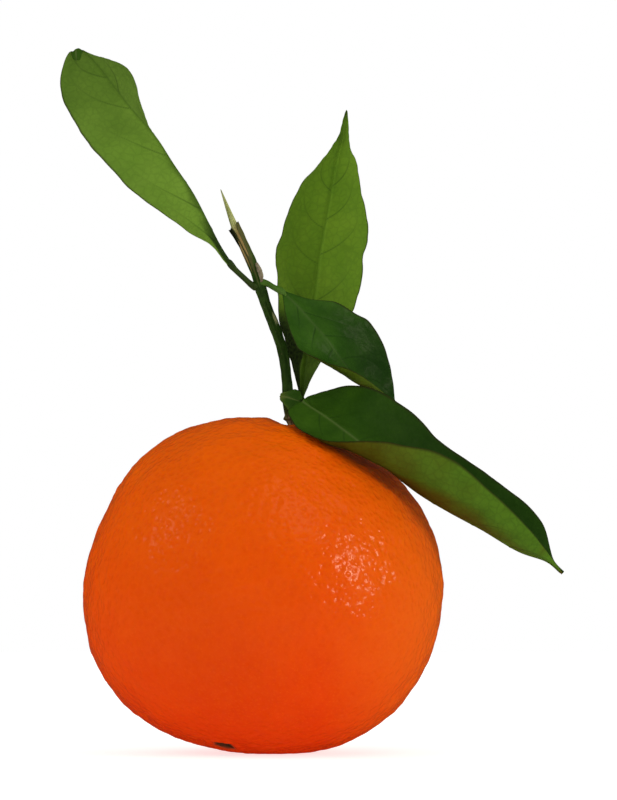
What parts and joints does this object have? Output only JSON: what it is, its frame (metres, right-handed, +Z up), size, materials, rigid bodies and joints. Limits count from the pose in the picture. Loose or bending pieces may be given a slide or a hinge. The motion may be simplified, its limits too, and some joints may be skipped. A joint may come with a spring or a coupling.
{
  "type": "orange",
  "caption": "Whole round orange on a small flat spot, with its calyx, a short torn twig and green leaves on their stalks.",
  "frame": {"origin": "on the small flat spot that the fruit stands on, straight below the middle of the fruit", "axes": "+Z up, away from the surface it stands on; +Y runs from the side that shows all four leaves best to the back; +X to the right of that side, towards the tip of the lower leaf"},
  "size_m": [0.1035, 0.0722, 0.1452],
  "materials": {
    "rind": "satin",
    "calyx_green": "matte",
    "bark": "matte",
    "bud_scale": "matte",
    "stalk_green": "satin",
    "leaf_green": "satin"
  },
  "bodies": {
    "root": {"fruit": "rind", "calyx": "calyx_green", "twig": "bark", "bud": "bud_scale", "stalk_upper_left": "stalk_green", "stalk_upright": "stalk_green", "stalk_middle": "stalk_green", "stalk_lower": "stalk_green", "leaf_upper_left": "leaf_green", "leaf_upright": "leaf_green", "leaf_middle": "leaf_green", "leaf_lower": "leaf_green"}
  },
  "joints": []
}
